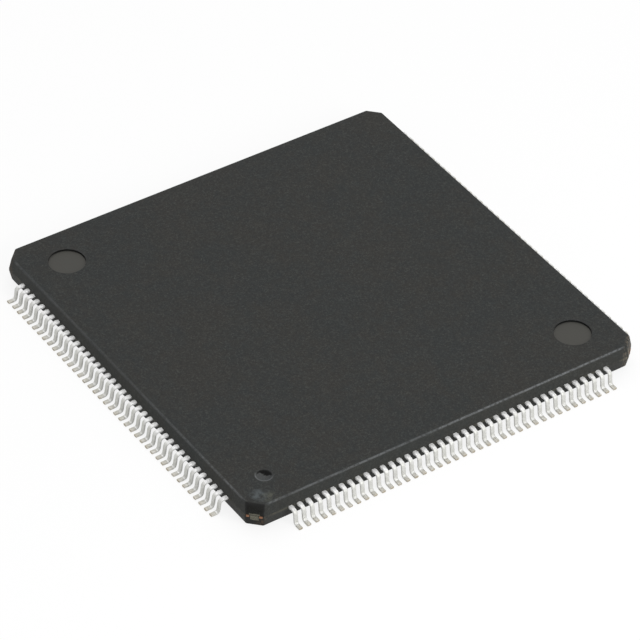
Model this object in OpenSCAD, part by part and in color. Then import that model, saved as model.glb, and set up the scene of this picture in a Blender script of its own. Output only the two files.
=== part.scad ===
// Quad flat pack: a thin moulded chip package with a row of gull-wing leads on each side.
// Millimetres, +Z up. The lead feet stand on z = 0 and the origin is under the middle of the body.
// The front row is on -Y. Terminal 1 is its left end, next to the corner with the mould gate,
// and the terminals count on anticlockwise as seen from above.

/* [Body] */
// Distance from the middle of the end lead to the side of the moulding
row_margin = 2.25; // [2:0.05:3]
// Thickness of the moulding
body_t = 1.4; // [1.3:0.1:2]
// Gap between the moulding and the seating plane
standoff = 0.1; // [0.05:0.01:0.2]
// Draft of the side walls, in degrees from upright
draft = 12; // [5:1:15]
// Leg of the cut across each corner of the moulding
corner_cut = 0.7; // [0.5:0.05:1]
// Radius along the top and bottom edges of the moulding
edge_r = 0.1; // [0.04:0.01:0.15]

/* [Leads] */
// Number of leads along each side
leads_per_side = 40; // [36:4:52]
// Distance between neighbouring leads
pitch = 0.5; // [0.4:0.05:0.65]
// Width of a lead outside the moulding
lead_w = 0.24; // [0.16:0.01:0.27]
// Thickness of the lead frame's sheet
lead_t = 0.127; // [0.1:0.001:0.15]
// How far each toe stands out from the moulding
lead_reach = 1; // [0.9:0.05:1.3]
// Flat length of the foot, from the heel bend to the toe
foot_flat = 0.3; // [0.2:0.01:0.35]
// Radius on the inside of the shoulder bend and of the heel bend
bend_r = 0.12; // [0.08:0.01:0.16]
// Lean of the leg, in degrees from upright
leg_lean = 7; // [2:1:12]
// Width of the dam bar that joined the leads until they were cropped
dam_bar_w = 0.12; // [0.08:0.01:0.14]
// Gap between the moulding and the dam bar
dam_bar_gap = 0.06; // [0.04:0.01:0.1]
// How far the cropped ends of the dam bar stand out of a lead's sides
dam_stub = 0.02; // [0.005:0.005:0.04]

/* [Die] */
// Width and depth of the die
die_w = 7; // [6:0.1:8]
// Thickness of the die
die_t = 0.28; // [0.2:0.01:0.3]
// Thickness of the adhesive under the die
attach_t = 0.025; // [0.02:0.005:0.04]
// How far the adhesive is squeezed out round the die
attach_margin = 0.1; // [0.05:0.01:0.2]

/* [Die paddle] */
// Rim of the paddle that shows round the die
paddle_margin = 0.75; // [0.4:0.05:1]
// How far the paddle is pressed down below the leads
downset = 0.2; // [0.15:0.01:0.25]
// Width of the four bars that tie the paddle to the corners
tie_bar_w = 0.4; // [0.2:0.05:0.5]
// Flat stretch of a tie bar between the paddle's corner and its step
tie_bar_flat = 0.5; // [0.2:0.1:0.8]
// How far the cropped ends of the tie bars stand out of the corners
tie_bar_stub = 0.02; // [0.01:0.01:0.1]
// Width of each arm where a tie bar forks round the mould gate
fork_arm_w = 0.16; // [0.12:0.01:0.2]
// Distance from each arm to the edge of the corner cut
fork_margin = 0.08; // [0.04:0.01:0.1]
// Length of the fork, measured from the corner cut
fork_l = 2; // [1.6:0.1:2.4]

/* [Lead fingers] */
// Straight stretch of each lead inside the moulding, before it fans in
anchor_l = 1; // [0.7:0.1:1.4]
// Gap between the paddle and the row of finger tips, as seen from above
tip_gap = 1.75; // [1.3:0.05:2]
// Distance from the end finger's tip to the corner where two rows of tips would meet
tip_corner_gap = 1.125; // [1:0.025:1.5]
// Width of a finger at its tip
finger_w = 0.1; // [0.06:0.01:0.12]
// Distance from the finger tips to the inner edge of the tape that holds them
tape_gap = 1.4; // [1:0.1:1.8]
// Width of the tape
tape_w = 1; // [0.6:0.1:1.5]
// Thickness of the tape
tape_t = 0.075; // [0.05:0.005:0.1]

/* [Bond wires] */
// Thickness of a bond wire
wire_t = 0.025; // [0.02:0.005:0.04]
// Height of the wire loops above the die
loop_h = 0.16; // [0.12:0.01:0.2]
// Length of the level crest of a wire, from the ball outwards
crest_l = 1; // [0.6:0.1:1.4]
// Length of the last, steeper slope of a wire, down to its stitch
landing_l = 0.25; // [0.15:0.01:0.4]
// Height of that slope
landing_h = 0.06; // [0.04:0.01:0.1]
// Length of the stitch that lies on the finger
stitch_l = 0.08; // [0.05:0.01:0.12]
// Distance from the finger's tip to the end of the stitch
stitch_inset = 0.35; // [0.25:0.01:0.6]
// Diameter of the squashed ball on the die
ball_d = 0.07; // [0.05:0.005:0.08]
// Height of the squashed ball
ball_h = 0.02; // [0.01:0.005:0.03]
// Distance from the die's edge to the row of pads
pad_inset = 0.12; // [0.08:0.01:0.2]
// Distance from the die's corner to the first pad, along the edge
pad_margin = 0.4; // [0.3:0.05:0.6]

/* [Marks of the mould] */
// Diameter of the ejector pin marks
ejector_d = 2; // [1.5:0.1:2.5]
// Distance from the sides of the moulding to the middle of an ejector mark
ejector_inset = 2.5; // [2:0.1:4]
// Depth of the ejector pin marks
ejector_depth = 0.1; // [0.04:0.01:0.14]
// Diameter of the dimple that marks terminal 1
dimple_d = 0.85; // [0.5:0.05:1.2]
// Depth of the dimple
dimple_depth = 0.2; // [0.1:0.01:0.25]
// Distance from the sides of the moulding to the middle of the dimple
dimple_inset = 2; // [1.6:0.1:3]
// Distance from the broken gate to the edges of its corner cut
gate_margin = 0.07; // [0.06:0.01:0.2]
// Distance from the broken gate to the top of the moulding
gate_top_gap = 0.11; // [0.11:0.01:0.3]
// How far the broken gate stands out of the corner cut
gate_stub = 0.04; // [0.02:0.01:0.08]

/* [Hidden] */

// Angle of each side from the front, in degrees, in the order in which the terminals count
front_angle = 0;
right_angle = 90;
back_angle = 180;
left_angle = 270;
// Angle of the corner next to terminal 1, in degrees from +X
gate_angle = 225;
// Banks into which each side's leads and wires are grouped, one node each
BANKS = [1, 2, 3, 4, 5];
// Number of short flats that make up a rounded edge
edge_flats = 4;
// Facets of a full turn of the bends, the marks and the dimple
$fn = 64;

resin = "#3d3f3d";
tin = "#c9cac8";
copper = "#b8764a";
gold = "#d8b04c";
silicon = "#5d6470";
adhesive = "#d9d6cc";
polyimide = "#b5651d";

// Width and depth of the moulding at the level of the leads
body_w = (leads_per_side - 1) * pitch + 2 * row_margin;
// Distance between opposite corner cuts, and the length of each cut
across_corners = sqrt(2) * (body_w - corner_cut);
corner_flat = sqrt(2) * corner_cut;

// Levels of the lead frame and of what is stacked on its paddle
lead_z = standoff + (body_t - lead_t) / 2;
lead_top = lead_z + lead_t;
top_z = standoff + body_t;
paddle_z = lead_z - downset;
attach_z = paddle_z + lead_t;
die_z = attach_z + attach_t;
die_top = die_z + die_t;

// Outside of the lead: the turn of its two bends, the length of its leg and where each part ends
turn = 90 - leg_lean;
mid_r = bend_r + lead_t / 2;
leg_l = (lead_z - 2 * mid_r * (1 - cos(turn))) / sin(turn);
toe = body_w / 2 + lead_reach;
heel = toe - foot_flat;
shoulder = heel - 2 * mid_r * sin(turn) - leg_l * cos(turn);
dam_bar = body_w / 2 + dam_bar_gap;

// Squares inside the moulding, each tied to the one inside it
paddle_w = die_w + 2 * paddle_margin;
tip_ring = paddle_w / 2 + tip_gap;
tape_ring = tip_ring + tape_gap;
fan_start = body_w / 2 - anchor_l;
fan_run = fan_start - tip_ring;

// Rows of finger tips and of pads, spread evenly
tip_pitch = 2 * (tip_ring - tip_corner_gap) / (leads_per_side - 1);
pad_pitch = (die_w - 2 * pad_margin) / (leads_per_side - 1);
pad_row = die_w / 2 - pad_inset;

// Place of a copy in a row of equal steps, centred on the middle of the side
function row_x(i, step) = (i - (leads_per_side - 1) / 2) * step;

// Point at a distance and an angle from the origin of a plane
function polar(r, a) = r * [cos(a), sin(a)];

// Points along an arc
function arc(centre, r, from, to, steps) =
    [for (k = [0:steps]) centre + polar(r, from + (to - from) * k / steps)];

function unit(v) = v / norm(v);
function leftward(v) = [-v.y, v.x];

// Offset from point i of a path to the edge of a strip of unit half width, mitred at the bends
function mitre(path, i) =
    let (last = len(path) - 1,
        arriving = unit(path[max(i, 1)] - path[max(i, 1) - 1]),
        leaving = unit(path[min(i, last - 1) + 1] - path[min(i, last - 1)]),
        side = leftward(unit(arriving + leaving)))
    side / (side * leftward(arriving));

// Outline of a strip of thickness t that follows a path
function strip(path, t) = concat(
    [for (i = [0:len(path) - 1]) path[i] + mitre(path, i) * t / 2],
    [for (i = [len(path) - 1:-1:0]) path[i] - mitre(path, i) * t / 2]);

// Stands a side view, drawn outwards and upwards, on the line that runs out to the front
module upright(width) {
    rotate([90, 0, -90]) linear_extrude(height = width, center = true) children();
}

// The same on the line that runs out to a corner
module upright_to_corner(angle, width) {
    rotate([0, 0, angle + 90]) upright(width) children();
}

module on_side(angle) {
    rotate([0, 0, angle]) children();
}

// ---------------------------------------------------------------- leads

// Part of a ring of the sheet's thickness round a bend's centre
module bend(centre, from) {
    wedge = 2 * (bend_r + lead_t);
    translate(centre) intersection() {
        difference() {
            circle(r = bend_r + lead_t);
            circle(r = bend_r);
        }
        polygon([[0, 0], polar(wedge, from), polar(wedge, from + turn)]);
    }
}

// Side view of the lead outside the moulding: shoulder bend, leg, heel bend and foot
module gull_wing() {
    outer_r = bend_r + lead_t;
    shoulder_centre = [shoulder, lead_z - bend_r];
    heel_centre = [heel, outer_r];
    leg_end = leg_lean + 180;
    bend(shoulder_centre, leg_lean);
    polygon([
        shoulder_centre + polar(outer_r, leg_lean), heel_centre + polar(bend_r, leg_end),
        heel_centre + polar(outer_r, leg_end), shoulder_centre + polar(bend_r, leg_lean)]);
    bend(heel_centre, leg_end);
    translate([heel, 0]) square([foot_flat, lead_t]);
}

// One edge of the lead's plan from its shoulder to its bonding tip; side is -1 or 1
function finger_edge(i, side) =
    let (x = row_x(i, pitch),
        tip_x = row_x(i, tip_pitch),
        half = side * lead_w / 2,
        stub = side * dam_stub,
        tip_half = side * finger_w / 2 * norm([x - tip_x, fan_run]) / fan_run)
    [[x + half, -shoulder], [x + half, -dam_bar - dam_bar_w], [x + half + stub, -dam_bar - dam_bar_w],
        [x + half + stub, -dam_bar], [x + half, -dam_bar], [x + half, -fan_start],
        [tip_x + tip_half, -tip_ring]];

// Flat part of the lead: its shoulder, with the cropped dam bar, and its finger
module finger(i) {
    left_edge = finger_edge(i, -1);
    right_edge = finger_edge(i, 1);
    translate([0, 0, lead_z]) linear_extrude(height = lead_t)
        polygon(concat(right_edge, [for (k = [len(left_edge) - 1:-1:0]) left_edge[k]]));
}

// One lead of the front row, counted from the left
module lead(i) {
    union() {
        translate([row_x(i, pitch), 0, 0]) upright(lead_w) gull_wing();
        finger(i);
    }
}

// Leads or wires of one bank: as equal a share of the side's row as the count allows
function bank_start(bank) = floor((bank - 1) * leads_per_side / len(BANKS));
function bank_range(bank) = [bank_start(bank):bank_start(bank + 1) - 1];

module lead_bank(side_angle, bank) {
    color(tin) on_side(side_angle) for (i = bank_range(bank)) lead(i);
}

// ---------------------------------------------------------------- bond wires

// Where wire i leaves the die and where its stitch ends, on the middle line of finger i
function pad_point(i) = [row_x(i, pad_pitch), -pad_row];
function stitch_point(i) =
    [row_x(i, tip_pitch + (pitch - tip_pitch) * stitch_inset / fan_run), -tip_ring - stitch_inset];

// Side view of a wire of a given run: up from the ball, over in a low loop and down to the stitch
function wire_path(run) =
    let (crest = die_top + loop_h - wire_t / 2,
        corner = 2 * wire_t,
        land = lead_top + wire_t / 2)
    [[0, die_top + ball_h], [0, crest - corner], [corner, crest], [crest_l, crest],
        [run - stitch_l - landing_l, land + landing_h], [run - stitch_l, land], [run, land]];

module wire(i) {
    start = pad_point(i);
    way = stitch_point(i) - start;
    translate(start) rotate([0, 0, atan2(way.y, way.x)]) union() {
        rotate([90, 0, 0]) linear_extrude(height = wire_t, center = true)
            polygon(strip(wire_path(norm(way)), wire_t));
        translate([0, 0, die_top]) cylinder(d = ball_d, h = ball_h, $fn = 8);
    }
}

module wire_bank(side_angle, bank) {
    color(gold) on_side(side_angle) for (i = bank_range(bank)) wire(i);
}

// ---------------------------------------------------------------- die and its paddle

// Side view of a tie bar out to a given reach: paddle level, step up, lead level
module tie_bar_side(reach) {
    step_foot = paddle_w / sqrt(2) + tie_bar_flat;
    step_head = step_foot + downset;
    translate([0, paddle_z + lead_t / 2])
        polygon(strip([[0, 0], [step_foot, 0], [step_head, downset], [reach, downset]], lead_t));
}

module tie_bar(angle, reach) {
    upright_to_corner(angle, tie_bar_w) tie_bar_side(reach);
}

// Plan of the forked end of a tie bar, drawn outwards along +X: two arms splay apart round the gate
module fork_plan() {
    root = across_corners / 2 - fork_l;
    end = across_corners / 2 + tie_bar_stub;
    outer = corner_flat / 2 - fork_margin;
    inner = outer - fork_arm_w;
    splay = root + 2 * (outer - tie_bar_w / 2);
    polygon([[root, -tie_bar_w / 2], [splay, -outer], [end, -outer], [end, -inner], [splay + inner, -inner],
        [splay, 0], [splay + inner, inner], [end, inner], [end, outer], [splay, outer],
        [root, tie_bar_w / 2]]);
}

module forked_tie_bar(angle) {
    tie_bar(angle, across_corners / 2 - fork_l);
    rotate([0, 0, angle]) translate([0, 0, lead_z]) linear_extrude(height = lead_t) fork_plan();
}

module paddle_plate() {
    translate([-paddle_w / 2, -paddle_w / 2, paddle_z]) cube([paddle_w, paddle_w, lead_t]);
}

module die_paddle() {
    color(copper) union() {
        paddle_plate();
        forked_tie_bar(gate_angle);
        for (k = [1:3]) tie_bar(gate_angle + 90 * k, across_corners / 2 + tie_bar_stub);
    }
}

module die_attach() {
    w = die_w + 2 * attach_margin;
    color(adhesive) translate([-w / 2, -w / 2, attach_z]) cube([w, w, attach_t]);
}

module die() {
    color(silicon) translate([-die_w / 2, -die_w / 2, die_z]) cube([die_w, die_w, die_t]);
}

module lead_lock_tape() {
    color(polyimide) translate([0, 0, lead_top]) linear_extrude(height = tape_t) difference() {
        square(2 * (tape_ring + tape_w), center = true);
        square(2 * tape_ring, center = true);
    }
}

// ---------------------------------------------------------------- moulding

// One quarter of the moulding's side view, out from the edge of the lead frame and up
function wall_quarter(half, rise) =
    let (inset = rise * tan(draft),
        corner_x = half - inset - edge_r * (1 - sin(draft)) / cos(draft))
    concat([[half, 0]], arc([corner_x, rise - edge_r], edge_r, draft, 90, edge_flats));

// Side view of the moulding: two drafted halves that meet at a narrow upright land, which is as
// high as the lead frame is thick
module wall_profile(w) {
    quarter = wall_quarter(w / 2, (body_t - lead_t) / 2);
    last = len(quarter) - 1;
    polygon(concat(
        [for (k = [0:last]) [quarter[k].x, lead_top + quarter[k].y]],
        [for (k = [last:-1:0]) [-quarter[k].x, lead_top + quarter[k].y]],
        [for (k = [0:last]) [-quarter[k].x, lead_z - quarter[k].y]],
        [for (k = [last:-1:0]) [quarter[k].x, lead_z - quarter[k].y]]));
}

// The side view carried right across, with its walls facing a given angle and its opposite
module drafted_bar(w, angle) {
    rotate([90, 0, angle]) linear_extrude(height = 2 * body_w, center = true) wall_profile(w);
}

module blank() {
    intersection() {
        drafted_bar(body_w, 0);
        drafted_bar(body_w, 90);
        drafted_bar(across_corners, 45);
        drafted_bar(across_corners, -45);
    }
}

// Broken stub of the gate, on the corner next to terminal 1, from the lead frame up
module gate() {
    gate_w = corner_flat - 2 * gate_margin;
    intersection() {
        drafted_bar(across_corners + 2 * gate_stub, gate_angle);
        rotate([0, 0, gate_angle]) translate([across_corners / 2 - corner_cut, -gate_w / 2, lead_top])
            cube([2 * corner_cut, gate_w, top_z - gate_top_gap - lead_top]);
    }
}

// Two shallow round marks, in the corners to the right and left of terminal 1's
module ejector_marks(face_z) {
    reach = sqrt(2) * (body_w / 2 - ejector_inset);
    for (turned = [-90, 90]) rotate([0, 0, gate_angle + turned]) translate([reach, 0, face_z])
        cylinder(d = ejector_d, h = 2 * ejector_depth, center = true);
}

// Dimple next to terminal 1: a shallow cap of a sphere
module dimple() {
    reach = sqrt(2) * (body_w / 2 - dimple_inset);
    ball_r = (pow(dimple_d / 2, 2) + pow(dimple_depth, 2)) / (2 * dimple_depth);
    rotate([0, 0, gate_angle]) translate([reach, 0, top_z + ball_r - dimple_depth]) sphere(r = ball_r);
}

// All that the resin is moulded round
module insert() {
    die_paddle();
    die_attach();
    die();
    lead_lock_tape();
    for (side_angle = [front_angle, right_angle, back_angle, left_angle])
        on_side(side_angle) for (i = [0:leads_per_side - 1]) {
            finger(i);
            wire(i);
        }
}

module body() {
    color(resin) difference() {
        union() {
            blank();
            gate();
        }
        ejector_marks(top_z);
        ejector_marks(standoff);
        dimple();
        insert();
    }
}

body();
die_paddle();
die_attach();
die();
lead_lock_tape();
lead_bank(front_angle, 1);  // front_leads_1
lead_bank(front_angle, 2);  // front_leads_2
lead_bank(front_angle, 3);  // front_leads_3
lead_bank(front_angle, 4);  // front_leads_4
lead_bank(front_angle, 5);  // front_leads_5
lead_bank(right_angle, 1);  // right_leads_1
lead_bank(right_angle, 2);  // right_leads_2
lead_bank(right_angle, 3);  // right_leads_3
lead_bank(right_angle, 4);  // right_leads_4
lead_bank(right_angle, 5);  // right_leads_5
lead_bank(back_angle, 1);  // back_leads_1
lead_bank(back_angle, 2);  // back_leads_2
lead_bank(back_angle, 3);  // back_leads_3
lead_bank(back_angle, 4);  // back_leads_4
lead_bank(back_angle, 5);  // back_leads_5
lead_bank(left_angle, 1);  // left_leads_1
lead_bank(left_angle, 2);  // left_leads_2
lead_bank(left_angle, 3);  // left_leads_3
lead_bank(left_angle, 4);  // left_leads_4
lead_bank(left_angle, 5);  // left_leads_5
wire_bank(front_angle, 1);  // front_wires_1
wire_bank(front_angle, 2);  // front_wires_2
wire_bank(front_angle, 3);  // front_wires_3
wire_bank(front_angle, 4);  // front_wires_4
wire_bank(front_angle, 5);  // front_wires_5
wire_bank(right_angle, 1);  // right_wires_1
wire_bank(right_angle, 2);  // right_wires_2
wire_bank(right_angle, 3);  // right_wires_3
wire_bank(right_angle, 4);  // right_wires_4
wire_bank(right_angle, 5);  // right_wires_5
wire_bank(back_angle, 1);  // back_wires_1
wire_bank(back_angle, 2);  // back_wires_2
wire_bank(back_angle, 3);  // back_wires_3
wire_bank(back_angle, 4);  // back_wires_4
wire_bank(back_angle, 5);  // back_wires_5
wire_bank(left_angle, 1);  // left_wires_1
wire_bank(left_angle, 2);  // left_wires_2
wire_bank(left_angle, 3);  // left_wires_3
wire_bank(left_angle, 4);  // left_wires_4
wire_bank(left_angle, 5);  // left_wires_5
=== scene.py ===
"""Looks of a quad flat pack chip: moulded resin body, broken mould gate and plated gull-wing leads.

Lengths are millimetres until a mesh is written, and the frame is in metres.
"""

from __future__ import annotations

import logging
import math
from dataclasses import dataclass
from enum import Enum
from typing import Any

import bpy
import numpy as np
from mathutils import Matrix, Vector, geometry


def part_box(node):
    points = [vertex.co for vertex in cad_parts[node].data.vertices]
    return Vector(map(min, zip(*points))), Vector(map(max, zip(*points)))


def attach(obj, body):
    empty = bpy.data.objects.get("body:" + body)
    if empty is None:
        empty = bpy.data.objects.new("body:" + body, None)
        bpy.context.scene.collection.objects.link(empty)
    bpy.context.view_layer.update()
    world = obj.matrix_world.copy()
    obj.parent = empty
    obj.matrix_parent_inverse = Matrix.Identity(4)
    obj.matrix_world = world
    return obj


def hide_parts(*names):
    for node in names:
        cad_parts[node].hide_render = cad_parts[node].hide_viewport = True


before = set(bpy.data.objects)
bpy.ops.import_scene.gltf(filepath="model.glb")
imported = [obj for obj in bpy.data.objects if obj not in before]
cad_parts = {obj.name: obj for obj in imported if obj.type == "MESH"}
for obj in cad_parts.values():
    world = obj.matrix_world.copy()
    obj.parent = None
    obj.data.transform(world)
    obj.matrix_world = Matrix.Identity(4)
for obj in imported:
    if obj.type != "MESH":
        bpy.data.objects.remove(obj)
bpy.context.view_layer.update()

MM = 0.001
BODY = "root"
SEED = 208
LOG = logging.getLogger("chip")
Colour = tuple[float, float, float, float]
Centre = tuple[float, float]
WHITE: Colour = (1.0, 1.0, 1.0, 1.0)
HALF_ROOT = math.sqrt(0.5)


def srgb(code: str) -> Colour:
    """Turns a colour as it looks on a screen into the linear colour that a shader takes.

    Args:
        code: Six hexadecimal digits, red first.

    Returns:
        Red, green, blue and an alpha of 1.
    """
    parts = [int(code[i:i + 2], 16) / 255 for i in (0, 2, 4)]
    linear = [p / 12.92 if p <= 0.04045 else ((p + 0.055) / 1.055) ** 2.4 for p in parts]
    return (linear[0], linear[1], linear[2], 1.0)


# ---------------------------------------------------------------- sizes that come from the frame


class Side(Enum):
    """The four sides of the package, with the turn of each from the front, in degrees."""

    FRONT = 0
    RIGHT = 90
    BACK = 180
    LEFT = 270

    @property
    def label(self) -> str:
        """Word with which the side's nodes begin."""
        return self.name.lower()


@dataclass(frozen=True)
class Package:
    """Levels and widths that every piece shares, measured on the frame, in millimetres."""

    width: float
    bottom: float
    top: float
    sheet_low: float
    sheet_top: float
    toe: float
    leads_per_side: int = 40
    banks_per_side: int = 5
    draft: float = math.radians(12)
    corner_cut: float = 0.7
    edge_radius: float = 0.1

    @classmethod
    def measured(cls) -> "Package":
        """Reads the boxes of the body, the leads, the die's adhesive and its paddle.

        Returns:
            The package with the levels of its pieces.
        """
        body_low, body_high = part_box("body")
        lead_low, lead_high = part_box("front_leads_1")
        paddle_low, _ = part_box("die_paddle")
        attach_low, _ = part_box("die_attach")
        sheet = attach_low.z - paddle_low.z
        return cls(
            width=(body_high.y - body_low.y) / MM,
            bottom=body_low.z / MM,
            top=body_high.z / MM,
            sheet_low=(lead_high.z - sheet) / MM,
            sheet_top=lead_high.z / MM,
            toe=-lead_low.y / MM,
        )

    @property
    def sheet(self) -> float:
        """Thickness of the lead frame's sheet."""
        return self.sheet_top - self.sheet_low

    @property
    def across_corners(self) -> float:
        """Distance between opposite corner cuts at the level of the leads."""
        return math.sqrt(2) * (self.width - self.corner_cut)

    @property
    def rise(self) -> float:
        """Height of either half of the moulding, from the sheet to its flat."""
        return self.top - self.sheet_top

    @property
    def corner_inset(self) -> float:
        """How far the drafted wall leans in by the height of the flat."""
        return self.rise * math.tan(self.draft)

    @property
    def flat_inset(self) -> float:
        """How far the edge of the flat lies inside the widest outline, with its edge rounded."""
        lean = (1 - math.sin(self.draft)) / math.cos(self.draft)
        return self.corner_inset + self.edge_radius * lean


# ---------------------------------------------------------------- shader graphs


class Signal:
    """A number that varies over a surface: a shader socket that takes part in arithmetic."""

    def __init__(self, graph: "Graph", socket: bpy.types.NodeSocket) -> None:
        """Wraps the socket of a node in the graph."""
        self.graph = graph
        self.socket = socket

    def _math(self, operation: str, *terms: "Signal | float") -> "Signal":
        """Adds one Math node.

        Args:
            operation: The node's operation.
            *terms: Its operands, in order.

        Returns:
            The node's result.
        """
        inputs = dict(enumerate(terms))
        return Signal(self.graph, self.graph.add("Math", {"operation": operation}, inputs).outputs[0])

    def __add__(self, other: "Signal | float") -> "Signal":
        """Sum."""
        return self._math("ADD", self, other)

    __radd__ = __add__

    def __sub__(self, other: "Signal | float") -> "Signal":
        """Difference."""
        return self._math("SUBTRACT", self, other)

    def __rsub__(self, other: float) -> "Signal":
        """Difference from a plain number."""
        return self._math("SUBTRACT", other, self)

    def __mul__(self, other: "Signal | float") -> "Signal":
        """Product."""
        return self._math("MULTIPLY", self, other)

    __rmul__ = __mul__

    def __abs__(self) -> "Signal":
        """Size without its sign."""
        return self._math("ABSOLUTE", self)

    def least(self, other: "Signal | float") -> "Signal":
        """The smaller of two."""
        return self._math("MINIMUM", self, other)

    def most(self, other: "Signal | float") -> "Signal":
        """The larger of two."""
        return self._math("MAXIMUM", self, other)

    def root(self) -> "Signal":
        """Square root."""
        return self._math("SQRT", self)

    def step(self, start: float, end: float) -> "Signal":
        """Smooth step from 0 at start to 1 at end, which may be the smaller of the two.

        Args:
            start: Where the step begins.
            end: Where the step has ended.

        Returns:
            The step, held at 0 and 1 outside.
        """
        inputs = {"Value": self, "From Min": start, "From Max": end}
        node = self.graph.add("MapRange", {"interpolation_type": "SMOOTHSTEP"}, inputs)
        return Signal(self.graph, node.outputs[0])


class Graph:
    """The nodes of one material or world, added through one method."""

    def __init__(self, tree: bpy.types.NodeTree) -> None:
        """Empties the tree of its default nodes."""
        self.tree = tree
        tree.nodes.clear()

    def add(self, kind: str, settings: dict[str, Any] | None = None,
            inputs: dict[str | int, Any] | None = None) -> bpy.types.Node:
        """Adds a node, with its settings made before its sockets are filled.

        Args:
            kind: The node's type, without its ShaderNode prefix.
            settings: Properties of the node.
            inputs: Values, signals or sockets for its inputs, by name or place.

        Returns:
            The node.
        """
        node = self.tree.nodes.new(f"ShaderNode{kind}")
        for name, setting in (settings or {}).items():
            setattr(node, name, setting)
        for name, given in (inputs or {}).items():
            source = given.socket if isinstance(given, Signal) else given
            if isinstance(source, bpy.types.NodeSocket):
                self.tree.links.new(source, node.inputs[name])
            else:
                node.inputs[name].default_value = source
        return node

    def attribute(self, name: str) -> Signal:
        """A number that the mesh carries at each vertex."""
        return Signal(self, self.add("Attribute", {"attribute_name": name}).outputs["Fac"])

    def mix(self, factor: Signal | float, first: Any, second: Any) -> bpy.types.NodeSocket:
        """Mixes two colours.

        Args:
            factor: 0 gives the first colour, and 1 the second.
            first: A colour or a socket.
            second: A colour or a socket.

        Returns:
            The mixed colour.
        """
        node = self.add("Mix", {"data_type": "RGBA"}, {0: factor, 6: first, 7: second})
        return node.outputs[2]

    def layered(self, base: Any, *coats: tuple[Signal | float, Any]) -> bpy.types.NodeSocket:
        """Lays colours over a base, one after another.

        Args:
            base: A colour or a socket.
            *coats: For each, where it covers what lies under it, and its colour.

        Returns:
            The colour on top.
        """
        for mask, tone in coats:
            base = self.mix(mask, base, tone)
        return base

    def bump(self, height: Signal, relief: float) -> bpy.types.NodeSocket:
        """Normal of a surface with fine relief.

        Args:
            height: Height, from 0 to 1.
            relief: Height of 1, in millimetres.

        Returns:
            The normal.
        """
        inputs = {"Strength": 1.0, "Distance": relief * MM, "Height": height}
        return self.add("Bump", inputs=inputs).outputs[0]

    def output(self, shader: bpy.types.NodeSocket, kind: str = "OutputMaterial") -> None:
        """Ends the graph with its output."""
        self.add(kind, inputs={0: shader})

    def principled(self, **sockets: Any) -> bpy.types.NodeSocket:
        """A Principled shader, with its sockets named in lower case and with underscores.

        Args:
            **sockets: Values or signals, such as base_color.

        Returns:
            The shader.
        """
        named = {"ior": "IOR", "specular_ior_level": "Specular IOR Level"}
        inputs = {named.get(name, name.replace("_", " ").title()): given for name, given in sockets.items()}
        return self.add("BsdfPrincipled", inputs=inputs).outputs[0]


def new_material(name: str) -> tuple[bpy.types.Material, Graph]:
    """Makes an empty material.

    Args:
        name: Its name.

    Returns:
        The material and its graph.
    """
    material = bpy.data.materials.new(name)
    material.use_nodes = True
    return material, Graph(material.node_tree)


# ---------------------------------------------------------------- finishes


class Spot:
    """The point that is shaded, on the object and in millimetres, and the patterns taken there."""

    def __init__(self, graph: Graph) -> None:
        """Reads the point and splits it into its axes."""
        self.graph = graph
        point = graph.add("TexCoord").outputs["Object"]
        self.place = graph.add("VectorMath", {"operation": "SCALE"}, {0: point, "Scale": 1 / MM}).outputs[0]
        split = graph.add("SeparateXYZ", inputs={0: self.place}).outputs
        self.x, self.y, self.z = (Signal(graph, split[i]) for i in range(3))

    def noise(self, grain: float, detail: float = 2.0, roughness: float = 0.5, seed: float = 0.0,
              squeeze: tuple[float, float, float] | None = None) -> Signal:
        """Cloudy noise.

        Args:
            grain: Size of its clouds, in millimetres.
            detail: How many finer layers it has.
            roughness: Weight of those layers.
            seed: Offset that makes it differ from other noise of the same grain.
            squeeze: Factors on the point's axes, which stretch the noise the other way.

        Returns:
            The noise, which stays close to one half.
        """
        place = self.place
        if squeeze:
            place = self.graph.add("VectorMath", {"operation": "MULTIPLY"}, {0: place, 1: squeeze}).outputs[0]
        inputs = {"Vector": place, "W": seed, "Scale": 1 / grain, "Detail": detail, "Roughness": roughness}
        return Signal(self.graph, self.graph.add("TexNoise", {"noise_dimensions": "4D"}, inputs).outputs[0])

    def cells(self, grain: float) -> Signal:
        """Distance to the nearest of points scattered grain millimetres apart, as a share of that."""
        node = self.graph.add("TexVoronoi", inputs={"Vector": self.place, "Scale": 1 / grain})
        return Signal(self.graph, node.outputs["Distance"])

    def reach(self, centre: Centre) -> Signal:
        """Distance from an upright line through the centre."""
        across, along = self.x - centre[0], self.y - centre[1]
        return (across * across + along * along).root()

    def beyond(self, centre: Centre, turn: float) -> Signal:
        """How far the point lies beyond the centre, along the way that the turn gives."""
        return (self.x - centre[0]) * math.cos(turn) + (self.y - centre[1]) * math.sin(turn)

    def off_diagonal(self) -> Signal:
        """Distance from the upright plane through terminal 1's corner and the opposite one."""
        return abs(self.x - self.y) * HALF_ROOT


class Finish:
    """The looks of a surface, which become one material with a Principled shader."""

    label: str

    def sockets(self, at: Spot) -> dict[str, Any]:
        """Values and signals for the shader's sockets, which each finish works out."""
        raise NotImplementedError

    def build(self) -> bpy.types.Material:
        """Makes the material.

        Returns:
            The material, which reads only the point on the object and its mesh's own attributes.
        """
        material, graph = new_material(self.label)
        graph.output(graph.principled(**self.sockets(Spot(graph))))
        return material


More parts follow.
